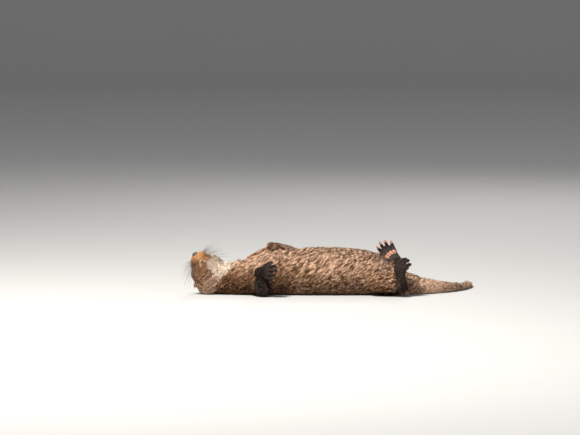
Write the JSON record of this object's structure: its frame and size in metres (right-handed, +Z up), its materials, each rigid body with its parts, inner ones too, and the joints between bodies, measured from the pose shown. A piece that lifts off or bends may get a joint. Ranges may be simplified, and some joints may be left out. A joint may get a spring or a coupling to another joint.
{
  "type": "eurasian otter lying on its back",
  "caption": "Life-size still model of a Eurasian otter asleep on its back, forepaws limp, hind feet raised, tail curved along the floor.",
  "frame": {"origin": "on the flat under the middle of the back, where the model rests on the floor", "axes": "+X along the body from the head to the tail, +Z up towards the belly, +Y to the animal's left"},
  "size_m": [0.8921, 0.4225, 0.1613],
  "materials": {
    "fur": "dense short brown fur, paler and warmer on the throat and belly",
    "foot": "dark brown short fur over webbed toes with bare pinkish pads",
    "claw": "smooth horn",
    "nose": "moist, finely pebbled dark skin",
    "eye": "wet dark brown"
  },
  "bodies": {
    "root": {"head": "fur", "neck": "fur", "trunk": "fur", "tail_base": "fur", "tail_tip": "fur", "ear_left": "fur", "ear_right": "fur", "upper_arm_left": "fur", "upper_arm_right": "fur", "forearm_left": "fur", "forearm_right": "fur", "thigh_left": "fur", "thigh_right": "fur", "shank_left": "fur", "shank_right": "fur", "forepaw_left": "foot", "forepaw_right": "foot", "hind_foot_left": "foot", "hind_foot_right": "foot", "claw_fore_left_1": "claw", "claw_fore_left_2": "claw", "claw_fore_left_3": "claw", "claw_fore_left_4": "claw", "claw_fore_left_5": "claw", "claw_fore_right_1": "claw", "claw_fore_right_2": "claw", "claw_fore_right_3": "claw", "claw_fore_right_4": "claw", "claw_fore_right_5": "claw", "claw_hind_left_1": "claw", "claw_hind_left_2": "claw", "claw_hind_left_3": "claw", "claw_hind_left_4": "claw", "claw_hind_left_5": "claw", "claw_hind_right_1": "claw", "claw_hind_right_2": "claw", "claw_hind_right_3": "claw", "claw_hind_right_4": "claw", "claw_hind_right_5": "claw", "nose": "nose", "eye_left": "eye", "eye_right": "eye"}
  },
  "joints": []
}
